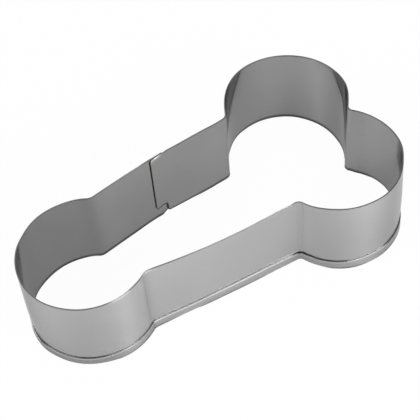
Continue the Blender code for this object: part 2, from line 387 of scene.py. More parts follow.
# How far the foot has risen from the floor, in millimetres
FOOT_LIFT = {
    "outer end": [(0.0, 0.0)],
    "far small bend": [(0.0, 0.0)],
    "small end": [(0.01, 0.15), (0.08, 0.03), (0.2, 0.0), (0.3, 0.20), (0.4, 0.05), (0.52, 0.0),
                  (0.61, 0.20), (0.7, 0.27), (0.78, 0.38), (0.84, 0.16), (0.9, 0.08)],
    "near small bend": [(0.0, 0.0), (1.2, 0.08), (1.8, 0.22)],
    "near crown": [(1.0, 0.25), (1.12, 0.08), (1.45, 0.07), (1.88, 0.30)],
    "near lobe bend": [(0.5, 0.42)],
    "near lobe": [(0.06, 0.28), (0.14, 0.10), (0.22, 0.05), (0.32, 0.15), (0.4, 0.02), (0.7, 0.0),
                  (0.8, 0.45), (0.86, 0.31), (0.94, 0.03)],
    "far lobe": [(0.5, 0.0), (0.61, 0.12), (0.71, 0.16), (0.77, 0.31), (0.87, 0.07)],
    "far lobe bend": [(1.2, 0.0), (1.5, 0.19)],
    "tab end": [(0.0, 0.15)],
}

# How far the flap's edge lies below its greatest height, in millimetres
FLAP_DROP = {
    "outer end": [(0.0, 0.5)],
    "far small bend": [(0.5, 0.6)],
    "small end": [(0.44, 1.6), (0.52, 1.8), (0.56, 1.2), (0.6, 0.9), (0.75, 0.78), (0.82, 0.62)],
    "near small bend": [(0.0, 0.97), (1.0, 0.70), (1.5, 0.55)],
    "near crown": [(0.5, 0.60), (1.4, 0.5), (1.75, 0.15), (1.95, 0.3)],
    "near lobe bend": [(0.5, 0.50), (0.95, 0.25)],
    "near lobe": [(0.03, 0.20), (0.07, 0.60), (0.15, 0.85), (0.3, 0.45), (0.36, 0.5), (0.44, 1.0),
                  (0.6, 1.0)],
    "cleft": [(0.5, 1.0)],
    "far lobe": [(0.5, 0.6)],
    "far lobe bend": [(0.5, 0.9)],
    "tab end": [(0.0, 0.5)],
}

# How far the flap's edge opens away from the wall, beyond the gap at the fold, in millimetres
FLAP_OPENING = {
    "outer end": [(0.0, -0.03)],
    "small end": [(0.3, -0.05), (0.52, -0.03), (0.57, -0.07), (0.61, -0.05), (0.84, -0.045),
                  (0.88, -0.14), (0.92, -0.05), (0.97, -0.105)],
    "near small bend": [(0.5, -0.09), (1.3, -0.01)],
    "near crown": [(1.1, -0.01), (1.4, -0.015), (1.95, -0.02)],
    "near lobe bend": [(0.45, 0.16), (0.95, 0.13)],
    "near lobe": [(0.03, 0.03), (0.06, -0.03), (0.12, -0.04), (0.2, -0.035), (0.25, -0.14),
                  (0.35, -0.14), (0.39, 0.0), (0.5, -0.05), (0.75, 0.0)],
    "cleft": [(0.5, -0.05)],
    "far lobe": [(0.5, 0.05)],
    "far lobe bend": [(0.5, 0.0)],
    "tab end": [(0.0, -0.05)],
}

# Share that the strip has of the near lobe bend's lean
BEND_LEAN = {
    "near crown": [(1.4, 0.0), (1.9, 1.0)],
    "near lobe bend": [(1.0, 1.0)],
    "near lobe": [(0.15, 0.0), (0.3, 0.0)],
}

# Share of painted highlight on the cutting edge, where it glints; its smoother finish there is real burnish
EDGE_PAINTED_HIGHLIGHT = {
    "outer end": [(0.0, 0.0)],
    "far crown": [(0.5, 0.0), (1.05, 0.2), (1.4, 0.1)],
    "small end": [(0.0, 0.0), (0.82, 0.0), (0.87, 0.3), (0.92, 0.15), (0.95, 0.0)],
    "near small bend": [(0.5, 0.2), (1.1, 0.0)],
    "near crown": [(0.0, 0.12), (1.2, 0.26), (1.7, 0.35), (1.95, 0.5)],
    "near lobe bend": [(0.3, 0.05)],
    "near lobe": [(0.1, 0.0)],
    "cleft": [(0.5, 0.0)],
    "far lobe bend": [(1.8, 0.0)],
    "tab end": [(0.0, 1.0)],
}

# The same on the face below the cutting edge
FACE_PAINTED_HIGHLIGHT = {
    "outer end": [(0.0, 0.0)],
    "small end": [(0.835, 0.0), (0.87, 0.75), (0.915, 0.75), (0.935, 0.0), (0.99, 0.0)],
    "near small bend": [(0.6, 0.8), (1.2, 0.0)],
    "near crown": [(1.5, 0.1), (1.9, 0.1)],
    "near lobe": [(0.1, 0.0)],
    "far lobe bend": [(1.84, 0.0), (1.88, 0.7)],
    "tab end": [(0.0, 0.7)],
}

# The same on the flap's edge, where more than one keeps the full painted highlight further from the edge
FLAP_PAINTED_HIGHLIGHT = {
    "outer end": [(0.0, 0.5)],
    "small end": [(0.84, 0.5), (0.88, 0.9), (0.95, 0.33)],
    "near small bend": [(0.3, 0.33), (0.6, 2.0), (1.03, 1.6), (1.1, 1.0)],
    "near crown": [(1.1, 1.0), (1.35, 1.5), (1.75, 1.5), (1.92, 1.0)],
    "near lobe bend": [(0.5, 0.3)],
    "near lobe": [(0.18, 0.35), (0.24, 0.8), (0.36, 0.8), (0.42, 0.35)],
    "tab end": [(0.0, 0.35)],
}

# Painted shade on the flap: change of its colour, as a share of it
FLAP_PAINTED_SHADE = {
    "outer end": [(0.0, -0.33)],
    "small end": [(0.78, -0.33), (0.93, -0.14)],
    "near small bend": [(0.4, -0.20), (0.8, -0.02), (1.1, -0.10)],
    "near crown": [(1.9, -0.13)],
    "near lobe bend": [(0.5, -0.23)],
    "near lobe": [(0.05, -0.16), (0.25, -0.14)],
    "tab end": [(0.0, -0.14)],
}

# Painted bands, brighter and duller, that stand in for reflections and shade: place, share of its arc, half
# width in millimetres, and change of the steel's colour as a share of it
PAINTED_LIGHT_BANDS = (
    ("far crown", 1.85, 6.0, 0.11),
    ("far small bend", 0.8, 2.5, -0.10),
    ("small end", 0.28, 5.0, -0.05),
    ("small end", 0.49, 3.2, -0.42),
    ("small end", 0.72, 9.0, -0.11),
    ("small end", 0.895, 3.2, 0.16),
    ("near small bend", 0.3, 1.3, -0.10),
    ("near crown", 1.3, 16.0, 0.06),
    ("near lobe bend", 0.6, 1.2, -0.06),
    ("near lobe", 0.08, 7.5, -0.15),
    ("near lobe", 0.28, 3.5, 0.10),
    ("near lobe", 0.43, 4.5, -0.12),
    ("near lobe", 0.59, 2.6, -0.20),
    ("far lobe", 0.09, 3.5, 0.28),
    ("far lobe", 0.31, 2.5, 0.14),
    ("far lobe", 0.45, 5.0, -0.05),
    ("far lobe", 0.89, 3.5, 0.28),
)


def smooth_through(keys, values, at):
    """A smooth line through the keys that never passes beyond them.

    Cubic pieces; a key's slope is the harmonic mean of the slopes beside it, or zero at a crest or a hollow.
    """
    width = np.diff(keys)
    secant = np.diff(values) / width
    before, after = secant[:-1], secant[1:]
    same_way = before * after > 0.0
    slopes = np.zeros(len(keys))
    slopes[1:-1][same_way] = 2.0 / (1.0 / before[same_way] + 1.0 / after[same_way])
    piece = np.clip(np.searchsorted(keys, at) - 1, 0, len(keys) - 2)
    t = np.clip((at - keys[piece]) / width[piece], 0.0, 1.0)
    rise = (1.0 + 2.0 * t) * (1.0 - t) ** 2 * values[piece] + t * t * (3.0 - 2.0 * t) * values[piece + 1]
    bow = t * (1.0 - t) ** 2 * slopes[piece] - t * t * (1.0 - t) * slopes[piece + 1]
    return rise + bow * width[piece]


def rounded_end(distance, radius):
    """How far a corner's arc has dropped at a distance from the end: r - sqrt(r^2 - (r - d)^2)."""
    inside = np.clip(radius - distance, 0.0, radius)
    return radius - np.sqrt(np.maximum(radius ** 2 - inside ** 2, 0.0))


def faded(distance, reach):
    """One at an edge, falling smoothly to zero at the reach: t * t * (3 - 2 * t)."""
    t = np.clip(1.0 - distance / reach, 0.0, 1.0)
    return t * t * (3.0 - 2.0 * t)


# Digits of a metre to which two places along the strip are one
PLACE_DIGITS = 9
# Columns that follow a corner's arc
CORNER_COLUMNS = 10


def with_extra_points(path, extra):
    """Distances along the path, points and inward normals, with more of them at the given distances."""
    along = np.unique(np.concatenate([path.along, extra]).round(PLACE_DIGITS))
    points = np.stack([np.interp(along, path.along, path.points[:, axis]) for axis in (0, 1)], axis=1)
    headings = np.interp(along, path.along, np.unwrap(path.headings))
    return along, points, left_of(heading(headings))


def end_spacing(radius):
    """Distances from an end that follow a corner's arc: r - r * cos(angle), close together at the end."""
    return radius * (1.0 - np.cos(np.linspace(0.0, math.pi / 2.0, CORNER_COLUMNS)))


# The grid's rows: shares of the way from the cutting edge to the notch's top, from there to the foot, angles
# round the fold, and shares of the way up the flap
UPPER_ROWS = np.concatenate([[0.0, 0.005, 0.01, 0.02], np.linspace(0.05, 0.95, 19), [0.98, 0.99, 1.0]])
LOWER_ROWS = np.array([0.04, 0.35, 0.7, 1.0])
FOLD_ROWS = np.linspace(0.0, math.pi, 13)[1:]
FLAP_ROWS = np.array([0.25, 0.5, 0.7, 0.8, 0.88, 0.94, 0.98, 1.0])

# The grid's columns: between those of the lap, and from a sheared end to those beside it
LAP_STEP = 0.25 * MM
END_STEPS = np.array([0.08, 0.15, 0.3, 0.5]) * MM
# Two columns this close together end the hem or the lower wall in an upright line
HAIR = 0.02 * MM

# Brings the bulge's curve, h * (1 - h) * (1 - h), to one at its highest place
BULGE_PEAK = 6.75
# The lower the power, the nearer to the foot lies most of the near lobe bend's lean
LEAN_POWER = 0.35

# Largest change of the steel's colour that its painted light and shade make, as a share of it
PAINTED_LIGHT_REACH = 0.4
# Painted light: how much brighter the wall's top is than its foot, as the same share
WALL_PAINTED_RISE = 0.10
# How many times narrower the painted shade is beside the tab's end than elsewhere in the lap
END_SHADE_NARROWER = 5.0
# Share of painted shade at the foot of the wall and of the hem, where the contact shade falls
WALL_FOOT_SHADE = 0.9
HEM_FOOT_SHADE = 0.6
# How far the painted shade reaches up the hem, as a share of how far it does up the wall
HEM_SHADE_REACH = 0.85
# A distance in metres past every fade's reach, for what has no edge or crevice nearby
FAR_OFF = 1.0


class Columns:
    """The grid's columns, as tall arrays that spread along its rows."""

    def __init__(self, path, strip):
        """The path's own points, with more at the lap, the notch, the corners and the ends of the hem."""
        total = path.along[-1]
        notch_edge = total - strip.notch_length
        hem_end = total - strip.lap_length - strip.hem_butt_gap
        lap = np.arange(0.0, strip.lap_length, LAP_STEP)
        along, self.points, self.inward = with_extra_points(path, np.concatenate([
            lap, total - lap, END_STEPS, total - END_STEPS, notch_edge - END_STEPS,
            [notch_edge, notch_edge - HAIR, hem_end, hem_end - HAIR],
            end_spacing(strip.tab_corner), total - end_spacing(strip.tab_corner),
            total - end_spacing(strip.tab_foot_corner), notch_edge + end_spacing(strip.notch_corner),
            notch_edge - end_spacing(strip.foot_corner), end_spacing(strip.flap_corner),
            hem_end - end_spacing(strip.flap_corner),
        ]))
        self.path = path
        self.along = along[:, None]
        self.from_end = total - self.along
        self.to_notch = notch_edge - self.along
        self.to_hem_end = hem_end - self.along
        self.on_tab = self.to_notch < HAIR / 2.0
        self.past_hem = self.to_hem_end < HAIR / 2.0

    def keyed(self, table):
        """The value in each column of a smooth line through a table's keys."""
        keys = [(self.path.place(name, share), value)
                for name, pairs in table.items() for share, value in pairs]
        places, values = np.array(keys).T
        return smooth_through(places, values, self.along)


def foot_rise(columns, strip):
    """How far the foot has risen: its lift, and a run-out at each end of the hem.

    The outer end's run-out is its rise times the square of the share of its length that is left. The inner
    end's has the power of 1.5 for the square.
    """
    outer = strip.hem_run_out_rise * np.clip(1.0 - columns.along / strip.hem_run_out, 0.0, 1.0) ** 2
    to_notch = np.clip(columns.to_notch / strip.foot_run_out, 0.0, 1.0)
    inner = strip.foot_run_out_rise * (1.0 - to_notch) ** 1.5
    return outer + inner + columns.keyed(FOOT_LIFT) * MM


def sheared_heights(columns, strip, rise):
    """Heights of the cutting edge, of the notch's top and of the wall's foot where it has no hem.

    The tab's upper edge drops with the square of the way to its end, the notch's top slopes evenly, the foot
    has the hem's rise, and each ends in the arcs of its corners.
    """
    slope = np.clip(1.0 - columns.from_end / strip.tab_slope_length, 0.0, 1.0) ** 2
    top = strip.height - rounded_end(np.minimum(columns.along, columns.from_end), strip.tab_corner)
    top = top - strip.tab_slope_drop * slope
    into_notch = -columns.to_notch
    notch_top = strip.notch_height - strip.notch_slope * np.clip(into_notch / strip.notch_length, 0.0, 1.0)
    notch_top = notch_top - rounded_end(np.clip(into_notch, 0.0, None), strip.notch_corner)
    notch_top = notch_top + rounded_end(columns.from_end, strip.tab_foot_corner)
    foot = strip.foot_above + rise + rounded_end(np.abs(columns.to_notch), strip.foot_corner)
    return top, notch_top, foot


def wall_spring(columns, strip, up):
    """How far the wall stands out from the path at the heights.

    With h as the share of the way from the hem's top to the cutting edge, it is the edge's spring times h to
    the power of 1.5, plus the foot's spring times 1 - h * h, plus the bulge times its curve.
    """
    h = np.clip((up - strip.hem_height) / (strip.height - strip.hem_height), 0.0, 1.0)
    out = columns.keyed(EDGE_SPRING) * MM * h ** 1.5
    out = out + columns.keyed(FOOT_SPRING) * MM * (1.0 - h ** 2)
    return out + columns.keyed(WALL_BULGE) * MM * BULGE_PEAK * h * (1.0 - h) ** 2


def weld_marks(columns, strip, up):
    """Depth of the electrode's marks on the lap, smoothly faded from the middle of each to its rim."""
    middle = (strip.notch_height + strip.height) / 2.0
    heights = middle + strip.weld_pitch * np.array([-1.0, 0.0, 1.0])
    beside = columns.along - strip.lap_length / 2.0
    off = np.min(np.hypot(beside[..., None], up[..., None] - heights), axis=2)
    return strip.weld_dip * faded(off, strip.weld_width / 2.0)


def leans(columns, strip, up):
    """How far points are moved along the strip, because the near lobe's bend and the tab's end lean.

    The bend's goes from its lean at the foot to that at the top with the height's share to LEAN_POWER, along
    the shank. The tab's grows evenly with the height and towards its end, along the strip there.
    """
    height_share = up / strip.height
    bend = strip.bend_lean_top - strip.bend_lean_foot
    bend = strip.bend_lean_foot + bend * np.maximum(height_share, 0.0) ** LEAN_POWER
    bend = columns.keyed(BEND_LEAN) * bend
    tab = strip.tab_lean * np.clip(1.0 - columns.from_end / strip.notch_length, 0.0, 1.0) * height_share
    path = columns.path
    shank_heading = heading(path.headings[path.arcs["near lobe bend"][0]])
    return bend[..., None] * shank_heading + tab[..., None] * heading(path.headings[-1])


def painted_light_values(columns, strip, up, on_wall):
    """Painted light and shade: half is the steel's colour, zero and one the reach below and above it.

    A band of painted light and shade is its change times exp(-(distance / half width) ** 2). The wall is
    painted evenly brighter upwards, and the flap has its painted shade.
    """
    painted_bands = sum(change * np.exp(-((columns.along - columns.path.place(name, share)) / (half_width * MM)) ** 2)
                for name, share, half_width, change in PAINTED_LIGHT_BANDS)
    # Painted light on the wall, brighter upwards, and painted shade on the flap
    tone = np.where(on_wall, WALL_PAINTED_RISE * (up / strip.height - 0.5), columns.keyed(FLAP_PAINTED_SHADE))
    return np.clip(0.5 + (painted_bands + tone) / (2.0 * PAINTED_LIGHT_REACH), 0.0, 1.0)


def shade_falloff(distance, reach):
    """One up to half the reach from where the painted shade is darkest, then falling evenly to zero at the
    reach.
    """
    return np.clip(2.0 * (1.0 - distance / reach), 0.0, 1.0)


def painted_shade_values(columns, strip, up, notch_top, wall_foot, on_wall):
    """Share of painted shade beside the tab's end, round the notch's corner, along its top and at the foot.
    """
    beside_end = np.where(up > notch_top, END_SHADE_NARROWER * columns.from_end, FAR_OFF)
    corner_foot = strip.notch_height - strip.notch_corner
    beside_corner = np.hypot(columns.to_notch, np.clip(up - corner_foot, 0.0, None))
    beside_corner = np.where(columns.on_tab | ~on_wall, FAR_OFF, beside_corner)
    along_notch = np.where(columns.on_tab, np.abs(up - notch_top), FAR_OFF)
    in_lap = shade_falloff(np.min([beside_end, beside_corner, along_notch], axis=0), strip.crevice_shade_width)
    above_foot = up - np.where(on_wall, wall_foot, 0.0)
    foot_reach = np.where(on_wall, 1.0, HEM_SHADE_REACH) * strip.foot_shade_height
    at_foot = np.where(on_wall, WALL_FOOT_SHADE, HEM_FOOT_SHADE) * shade_falloff(above_foot, foot_reach)
    return np.maximum(in_lap, at_foot)


def sheared_distance(columns, strip, up, down, notch_top):
    """Distance from the nearest sheared edge: the strip's two long ones, its ends and the notch."""
    above_notch = columns.on_tab & (np.arange(up.shape[1]) < len(UPPER_ROWS))
    return np.min([
        down,
        down[:, -1:] - down,
        np.broadcast_to(columns.along, down.shape),
        np.broadcast_to(columns.from_end, down.shape),
        np.where(above_notch, up - notch_top, FAR_OFF),
        np.where(up < strip.notch_height, np.abs(columns.to_notch), FAR_OFF),
    ], axis=0)


def strip_surface(outline, strip):
    """The strip's middle surface, with two parameters: along the path and down the section.

    A point is path + outward * out + up * height, moved by the leans. The rows go down the wall, then round
    the fold on a half circle, and up the flap, where out grows evenly to its opening. Returns the points, the
    cells that are there, the UV maps, in metres along and down the sheet, and the point attributes.
    """
    columns = Columns(outline.path(), strip)
    fold_radius = (strip.sheet + strip.hem_gap) / 2.0
    rise = foot_rise(columns, strip)
    fold_height = strip.sheet / 2.0 + fold_radius + rise
    top, notch_top, foot = sheared_heights(columns, strip, rise)
    wall_foot = np.where(columns.past_hem, foot, fold_height)
    upper = top + (notch_top - top) * UPPER_ROWS
    lower = notch_top + (wall_foot - notch_top) * LOWER_ROWS
    wall_up = np.concatenate([upper, lower], axis=1)
    wall_out = wall_spring(columns, strip, wall_up) - weld_marks(columns, strip, wall_up)

    foot_out = columns.keyed(FOOT_SPRING) * MM
    fold_out = fold_radius * (1.0 - np.cos(FOLD_ROWS)) + foot_out
    fold_up = fold_height - fold_radius * np.sin(FOLD_ROWS)
    flap_top = strip.hem_height - columns.keyed(FLAP_DROP) * MM
    for from_corner in (columns.along, np.clip(columns.to_hem_end, 0.0, None)):
        flap_top = flap_top - rounded_end(from_corner, strip.flap_corner)
    flap_out = 2.0 * fold_radius + foot_out + columns.keyed(FLAP_OPENING) * MM * FLAP_ROWS
    flap_up = fold_height + (flap_top - fold_height) * FLAP_ROWS

    out = np.concatenate([wall_out, fold_out, flap_out], axis=1)
    up = np.concatenate([wall_up, fold_up, flap_up], axis=1)
    grid = np.empty((*out.shape, 3))
    grid[..., :2] = columns.points[:, None] - columns.inward[:, None] * out[..., None]
    grid[..., :2] += leans(columns, strip, up)
    grid[..., 2] = up

    wall_rows = wall_out.shape[1]
    row = np.arange(out.shape[1] - 1)
    no_hem = columns.past_hem[:-1] & (row >= wall_rows - 1)
    no_foot = columns.on_tab[:-1] & (row >= len(UPPER_ROWS) - 1)
    there = ~(no_hem | no_foot)

    steps = np.linalg.norm(np.diff(grid, axis=1), axis=2)
    down = np.concatenate([np.zeros_like(columns.along), np.cumsum(steps, axis=1)], axis=1)
    flat = np.stack([np.broadcast_to(columns.along, down.shape), down], axis=-1)

    on_wall = np.arange(out.shape[1]) < wall_rows
    sheared = sheared_distance(columns, strip, up, down, notch_top)
    # Painted highlights: near-white colour on and beside the edges where they glint
    shine = np.where(on_wall, columns.keyed(FACE_PAINTED_HIGHLIGHT), columns.keyed(FLAP_PAINTED_HIGHLIGHT))
    reach = np.where(on_wall, faded(down, strip.wall_highlight_width), faded(sheared, strip.flap_highlight_width))
    beside_end = sheared >= columns.from_end
    # Attributes: painted light and shade, darker edge bands, painted highlights, painted shade in lap and
    # foot
    return grid, there, {"strip": flat}, {
        "painted_light": painted_light_values(columns, strip, up, on_wall),
        "edge_band": np.where(beside_end, 0.0, faded(sheared, strip.edge_band_width) * on_wall),
        "painted_highlight": shine * reach,
        "rim rub": np.where(on_wall, columns.keyed(EDGE_PAINTED_HIGHLIGHT), shine),
        "painted_shade": painted_shade_values(columns, strip, up, notch_top, wall_foot, on_wall),
    }


def surface_mesh(name, grid, there, maps, attributes):
    """A mesh of the grid's cells that are there, with UV maps and point attributes from like grids."""
    columns, rows = grid.shape[:2]
    number = np.arange(columns * rows).reshape(columns, rows)
    quads = np.stack([number[:-1, :-1], number[:-1, 1:], number[1:, 1:], number[1:, :-1]], axis=-1)[there]
    used, quads = np.unique(quads, return_inverse=True)
    quads = quads.reshape(-1, 4)
    mesh = bpy.data.meshes.new(name)
    mesh.from_pydata(grid.reshape(-1, 3)[used].tolist(), [], quads.tolist())
    for map_name, flat in maps.items():
        layer = mesh.uv_layers.new(name=map_name)
        layer.data.foreach_set("uv", flat.reshape(-1, 2)[used][quads.ravel()].ravel())
    for attribute_name, values in attributes.items():
        attribute = mesh.attributes.new(attribute_name, "FLOAT", "POINT")
        attribute.data.foreach_set("value", values.ravel()[used])
    mesh.validate()
    return mesh


def applied(obj):
    """Puts the result of the object's modifiers in its mesh."""
    bpy.context.view_layer.update()
    evaluated = obj.evaluated_get(bpy.context.evaluated_depsgraph_get())
    mesh = bpy.data.meshes.new_from_object(evaluated)
    obj.modifiers.clear()
    obj.data = mesh
    return mesh


# Materials

# The patches: colour as a share of the steel's, noise scale per metre, the noise values between which they
# grow, and their greatest share
PATCH_TONE = (0.91, 0.905, 0.90)
PATCH_SCALE = 70.0
PATCH_FROM = 0.35
PATCH_TO = 0.75
PATCH_SHARE = 0.35
# How much the lines and the patches change the roughness
LINE_ROUGHENS = 0.10
PATCH_ROUGHENS = 0.12
# Depth of the relief, and its strength on the faces and on the sheared edges
RELIEF_DEPTH = 0.01 * MM
FACE_RELIEF = 0.25
EDGE_RELIEF = 0.6
# Tint of the faces where they are seen edge-on, and how strongly they are brushed
EDGE_ON_TINT = (0.78, 0.78, 0.78, 1.0)
BRUSHED = 0.9
QUARTER_TURN = 0.25
# The crust of the welds: noise scale per metre, brightest colour as a share of the weld's, roughness it adds
CRUST_SCALE = 2500.0
CRUST_BRIGHTER = 1.5
CRUST_ROUGHENS = 0.2


def new_group(name, inputs, outputs):
    """A shader node group with its sockets. Each is a name and a socket type."""
    group = bpy.data.node_groups.new(name, "ShaderNodeTree")
    for in_out, sockets in (("INPUT", inputs), ("OUTPUT", outputs)):
        for socket_name, kind in sockets:
            group.interface.new_socket(name=socket_name, in_out=in_out, socket_type=kind)
    return group, group.nodes.new("NodeGroupInput"), group.nodes.new("NodeGroupOutput")


def new_material(name, metallic):
    """A material with its nodes, links and Principled shader."""
    material = bpy.data.materials.new(name)
    material.use_nodes = True
    nodes, links = material.node_tree.nodes, material.node_tree.links
    shader = nodes["Principled BSDF"]
    shader.inputs["Metallic"].default_value = metallic
    return material, nodes, links, shader


def new_node(nodes, kind, **values):
    """A node with values for its inputs, named with underscores for the spaces."""
    node = nodes.new(kind)
    for name, value in values.items():
        node.inputs[name.replace("_", " ")].default_value = value
    return node


def math_node(nodes, links, operation, *values):
    """A math node's output for two or three sockets or values."""
    node = nodes.new("ShaderNodeMath")
    node.operation = operation
    for socket, value in zip(node.inputs, values):
        if isinstance(value, (int, float)):
            socket.default_value = value
        else:
            links.new(value, socket)
    return node.outputs[0]


def mixed(nodes, links, share, a, b, colours=False):
    """A mix node's output for two sockets or values, either floats or colours."""
    node = nodes.new("ShaderNodeMix")
    node.data_type = "RGBA" if colours else "FLOAT"
    first, second, result = (6, 7, 2) if colours else (2, 3, 0)
    links.new(share, node.inputs[0])
    for index, value in ((first, a), (second, b)):
        if hasattr(value, "is_output"):
            links.new(value, node.inputs[index])
        else:
            node.inputs[index].default_value = (*value, 1.0) if colours else value
    return node.outputs[result]


def attribute_value(nodes, name):
    """A point attribute's output."""
    node = nodes.new("ShaderNodeAttribute")
    node.attribute_type = "GEOMETRY"
    node.attribute_name = name
    return node.outputs["Fac"]


def rolled_steel_group():
    """Rolling lines along the strip and soft cloudy patches.

    Colour is the base colour mixed with the warm one by the patches, Roughness the base one shifted by the
    lines and patches, and Height the relief of the lines.
    """
    group, entry, leave = new_group(
        "rolled steel",
        [("Base Colour", "NodeSocketColor"), ("Warm Colour", "NodeSocketColor"),
         ("Base Roughness", "NodeSocketFloat"), ("Lines per metre", "NodeSocketFloat"),
         ("Line stretch", "NodeSocketFloat")],
        [("Colour", "NodeSocketColor"), ("Roughness", "NodeSocketFloat"), ("Height", "NodeSocketFloat")])
    nodes, links = group.nodes, group.links
    place = nodes.new("ShaderNodeUVMap")
    place.uv_map = "strip"
    apart = nodes.new("ShaderNodeSeparateXYZ")
    links.new(place.outputs["UV"], apart.inputs[0])
    stretched = nodes.new("ShaderNodeCombineXYZ")
    for axis, times in (("X", "Line stretch"), ("Y", "Lines per metre")):
        links.new(math_node(nodes, links, "MULTIPLY", apart.outputs[axis], entry.outputs[times]),
                  stretched.inputs[axis])
    lines = new_node(nodes, "ShaderNodeTexNoise", Scale=1.0, Detail=4.0, Roughness=0.6)
    links.new(stretched.outputs[0], lines.inputs["Vector"])
    patches = new_node(nodes, "ShaderNodeTexNoise", Scale=PATCH_SCALE, Detail=3.0)
    links.new(place.outputs["UV"], patches.inputs["Vector"])
    soft = new_node(nodes, "ShaderNodeMapRange", From_Min=PATCH_FROM, From_Max=PATCH_TO)
    links.new(patches.outputs["Fac"], soft.inputs["Value"])

    share = math_node(nodes, links, "MULTIPLY", soft.outputs[0], PATCH_SHARE)
    base, warm = entry.outputs["Base Colour"], entry.outputs["Warm Colour"]
    links.new(mixed(nodes, links, share, base, warm, colours=True), leave.inputs["Colour"])
    rough = entry.outputs["Base Roughness"]
    for noise, change in ((lines, LINE_ROUGHENS), (patches, PATCH_ROUGHENS)):
        centred = math_node(nodes, links, "SUBTRACT", noise.outputs["Fac"], 0.5)
        rough = math_node(nodes, links, "MULTIPLY_ADD", centred, change, rough)
    links.new(rough, leave.inputs["Roughness"])
    links.new(lines.outputs["Fac"], leave.inputs["Height"])
    return group


def steel_material(name, group, base, roughness, look, relief):
    """Bare steel whose colour, roughness and relief come from the rolled steel group."""
    material, nodes, links, shader = new_material(name, 1.0)
    warm = [share * tone for share, tone in zip(base, PATCH_TONE)]
    grain = nodes.new("ShaderNodeGroup")
    grain.node_tree = group
    for socket_name, value in (("Base Colour", (*base, 1.0)), ("Warm Colour", (*warm, 1.0)),
                               ("Base Roughness", roughness), ("Lines per metre", 1.0 / look.grain_width),
                               ("Line stretch", 1.0 / look.grain_length)):
        grain.inputs[socket_name].default_value = value
    bump = new_node(nodes, "ShaderNodeBump", Strength=relief, Distance=RELIEF_DEPTH)
    links.new(grain.outputs["Height"], bump.inputs["Height"])
    links.new(bump.outputs["Normal"], shader.inputs["Normal"])
    return material, nodes, links, shader, grain


def with_painted_shade(nodes, links, look, colour):
    """The colour, darkened by painted shade in the lap and at the foot."""
    return mixed(nodes, links, attribute_value(nodes, "painted_shade"), colour, look.crevice_shade_colour, colours=True)


def strip_material(group, look):
    """Rolled steel, brushed along the strip, with painted light, shade and highlights, and darker edge bands.
    """
    material, nodes, links, shader, grain = steel_material(
        "rolled strip", group, look.strip_colour, look.strip_roughness, look, FACE_RELIEF)
    shader.inputs["Specular Tint"].default_value = EDGE_ON_TINT
    shader.inputs["Anisotropic"].default_value = BRUSHED
    shader.inputs["Anisotropic Rotation"].default_value = QUARTER_TURN
    tangent = nodes.new("ShaderNodeTangent")
    tangent.direction_type = "UV_MAP"
    tangent.uv_map = "strip"
    links.new(tangent.outputs["Tangent"], shader.inputs["Tangent"])
    # Painted light and shade: colour between a duller and a brighter copy of the steel, set by the bands
    dull, bright = ([share * times for share in look.strip_colour]
                    for times in (1.0 - PAINTED_LIGHT_REACH, 1.0 + PAINTED_LIGHT_REACH))
    links.new(mixed(nodes, links, attribute_value(nodes, "painted_light"), dull, bright, colours=True),
              grain.inputs["Base Colour"])
    # Darker band along the sheared edges, with the rougher finish of the edge
    edge_band = attribute_value(nodes, "edge_band")
    # Painted highlight near the edges where they glint, with the smoother finish of burnish
    painted_highlight = attribute_value(nodes, "painted_highlight")
    colour = mixed(nodes, links, edge_band, grain.outputs["Colour"], look.edge_band_colour, colours=True)
    colour = mixed(nodes, links, painted_highlight, colour, look.highlight_colour, colours=True)
    # Painted shade in the lap and at the foot
    links.new(with_painted_shade(nodes, links, look, colour), shader.inputs["Base Color"])
    rough = mixed(nodes, links, edge_band, grain.outputs["Roughness"], look.edge_roughness)
    links.new(mixed(nodes, links, painted_highlight, rough, look.shine_roughness), shader.inputs["Roughness"])
    return material


def edge_material(group, look):
    """The sheared edge: painted highlight and smoother finish where it glints, painted shade in the lap."""
    material, nodes, links, shader, grain = steel_material(
        "sheared edge", group, look.edge_colour, look.edge_roughness, look, EDGE_RELIEF)
    # Painted highlight on the sheared edge where it glints
    painted_highlight = attribute_value(nodes, "rim rub")
    colour = mixed(nodes, links, painted_highlight, grain.outputs["Colour"], look.highlight_colour, colours=True)
    links.new(with_painted_shade(nodes, links, look, colour), shader.inputs["Base Color"])
    rough = mixed(nodes, links, painted_highlight, grain.outputs["Roughness"], look.shine_roughness)
    links.new(rough, shader.inputs["Roughness"])
    return material


def weld_material(look):
    """Dull weld metal with a fine crust, read in object coordinates."""
    material, nodes, links, shader = new_material("weld metal", 1.0)
    place = nodes.new("ShaderNodeTexCoord")
    crust = new_node(nodes, "ShaderNodeTexNoise", Scale=CRUST_SCALE)
    links.new(place.outputs["Object"], crust.inputs["Vector"])
    brighter = [min(1.0, CRUST_BRIGHTER * share) for share in look.weld_colour]
    links.new(mixed(nodes, links, crust.outputs["Fac"], look.weld_colour, brighter, colours=True),
              shader.inputs["Base Color"])
    rough = math_node(nodes, links, "MULTIPLY_ADD", crust.outputs["Fac"], CRUST_ROUGHENS, look.weld_roughness)
    links.new(rough, shader.inputs["Roughness"])
    return material


# Edges that turn by more than the first are broken, and those by more than the second are shaded as sharp
SHEARED_ANGLE = math.radians(60.0)
SHARP_ANGLE = math.radians(50.0)


